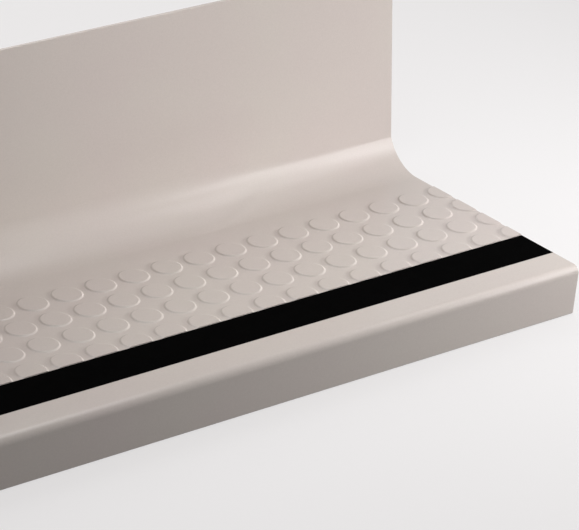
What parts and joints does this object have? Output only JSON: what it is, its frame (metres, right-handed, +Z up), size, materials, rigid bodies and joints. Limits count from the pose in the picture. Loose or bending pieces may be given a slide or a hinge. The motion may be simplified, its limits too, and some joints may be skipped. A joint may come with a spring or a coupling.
{
  "type": "rubber stair tread",
  "caption": "Moulded rubber stair tread with a nose that hooks over the step, low round studs, a flush contrast strip and a coved riser.",
  "frame": {"origin": "centre of the bounding box's base, on the floor that the foot of the nose and the heel rest on", "axes": "+X along the tread's length, +Y back from the nose towards the riser, +Z up from the floor; the tread's flat slopes down towards +Y by 10.7 degrees, as it lies unheld"},
  "size_m": [0.914, 0.3264, 0.1888],
  "materials": {
    "tread_rubber": "satin",
    "strip_rubber": "matte"
  },
  "bodies": {
    "root": {"stair_tread": "tread_rubber", "contrast_strip": "strip_rubber"}
  },
  "joints": []
}
